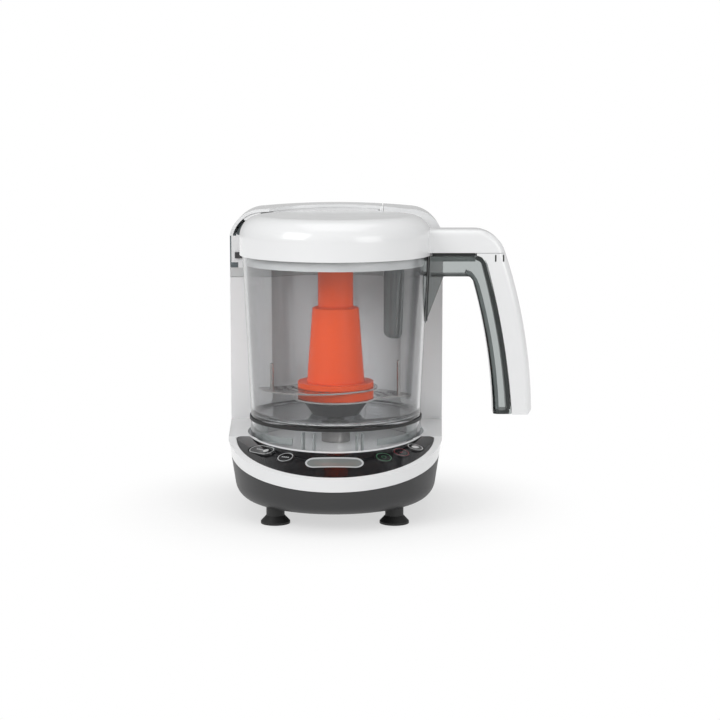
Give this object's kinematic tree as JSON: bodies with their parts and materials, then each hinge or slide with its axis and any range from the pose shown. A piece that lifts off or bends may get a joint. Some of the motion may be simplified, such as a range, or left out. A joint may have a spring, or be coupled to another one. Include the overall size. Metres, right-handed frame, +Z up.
{
  "type": "baby food maker",
  "caption": "Countertop baby food steamer and blender: lidded smoky bowl with side handle and orange blade hub on a motor base, water tank tower behind.",
  "frame": {"origin": "on the worktop under the middle of the appliance's overall box", "axes": "+X to the handle, +Y to the back with the tank tower, +Z up"},
  "size_m": [0.2336, 0.2095, 0.2275],
  "materials": {
    "white_shell": "smooth gloss white",
    "dark_pan": "fine matte grain, dark grey",
    "black_panel": "gloss black",
    "display_trim": "pale satin trim",
    "display_glass": "dark display lens",
    "smoky_plastic": "clear smoky grey plastic",
    "pale_liner": "pale grey moulded plastic",
    "hub_orange": "satin orange",
    "steel": "stamped stainless steel",
    "dark_plastic": "dark moulded plastic",
    "coupler_steel": "turned steel",
    "rubber": "soft black rubber",
    "motor_steel": "plain motor can",
    "boiler_metal": "cast aluminium",
    "circuit_board": "coated circuit board"
  },
  "bodies": {
    "base": {"base_pan": "dark_pan", "main_housing": "white_shell", "control_panel": "black_panel", "display_bezel": "display_trim", "display_window": "display_glass", "motor": "motor_steel", "control_board": "circuit_board", "boiler": "boiler_metal", "steam_pipe": "boiler_metal", "cord_gland": "rubber", "tank_tray": "pale_liner", "column_fascia": "smoky_plastic", "interlock_catch": "black_panel", "tower_cap": "white_shell", "foot_front_left": "rubber", "foot_front_right": "rubber", "foot_back_left": "rubber", "foot_back_right": "rubber", "pan_screws": "steel"},
    "drive": {"drive_coupler": "coupler_steel"},
    "bowl_unit": {"bowl": "smoky_plastic", "bowl_foot_ring": "rubber", "steam_channel": "smoky_plastic", "drive_boss": "dark_plastic", "handle_grip": "smoky_plastic", "handle_shell": "white_shell"},
    "blade": {"blade_hub": "hub_orange", "upper_blade": "steel", "lower_blade": "steel", "upper_blade_pin": "steel", "lower_blade_pin": "steel", "blade_spindle": "steel"},
    "lid_unit": {"lid": "white_shell", "lid_liner": "pale_liner", "lid_seal": "rubber"},
    "tank": {"water_tank": "smoky_plastic", "tank_valve": "dark_plastic", "cover_hinge_pin": "steel"},
    "cover": {"tank_cover": "white_shell"},
    "key_mode_body": {"key_mode": "black_panel"},
    "key_steam_body": {"key_steam": "black_panel"},
    "key_start_body": {"key_start": "black_panel"},
    "key_cancel_body": {"key_cancel": "black_panel"},
    "key_blend_body": {"key_blend": "black_panel"}
  },
  "joints": [
    {"name": "blade_spin", "type": "hinge", "parent": "bowl_unit", "child": "blade", "pos_m": [-0.03237, -0.00345, 0], "axis": [0, 0, 1], "continuous": true},
    {"name": "drive_spin", "type": "hinge", "parent": "base", "child": "drive", "pos_m": [-0.03237, -0.00345, 0], "axis": [0, 0, 1], "continuous": true},
    {"name": "bowl_lift", "type": "slide", "parent": "base", "child": "bowl_unit", "axis": [0, 0, 1], "range_m": [0, 0.1]},
    {"name": "lid_lift", "type": "slide", "parent": "bowl_unit", "child": "lid_unit", "axis": [0, 0, 1], "range_m": [0, 0.08]},
    {"name": "tank_lift", "type": "slide", "parent": "base", "child": "tank", "axis": [0, 0, 1], "range_m": [0, 0.06]},
    {"name": "cover_hinge", "type": "hinge", "parent": "tank", "child": "cover", "pos_m": [-0.05487, 0.10175, 0.20395], "axis": [-1, 0, 0], "range_deg": [0, 100]},
    {"name": "key_mode_press", "type": "slide", "parent": "base", "child": "key_mode_body", "axis": [0.2032, 0.2104, -0.9562], "range_m": [0, 0.001], "stiffness_N_per_m": 400},
    {"name": "key_steam_press", "type": "slide", "parent": "base", "child": "key_steam_body", "axis": [0.1604, 0.3162, -0.935], "range_m": [0, 0.001], "stiffness_N_per_m": 400},
    {"name": "key_start_press", "type": "slide", "parent": "base", "child": "key_start_body", "axis": [-0.1604, 0.3162, -0.935], "range_m": [0, 0.001], "stiffness_N_per_m": 400},
    {"name": "key_cancel_press", "type": "slide", "parent": "base", "child": "key_cancel_body", "axis": [-0.1978, 0.246, -0.9489], "range_m": [0, 0.001], "stiffness_N_per_m": 400},
    {"name": "key_blend_press", "type": "slide", "parent": "base", "child": "key_blend_body", "axis": [-0.1991, 0.1659, -0.9658], "range_m": [0, 0.001], "stiffness_N_per_m": 400}
  ],
  "couplings": [
    {"joint": "drive_spin", "follows": "blade_spin", "ratio": 1}
  ]
}
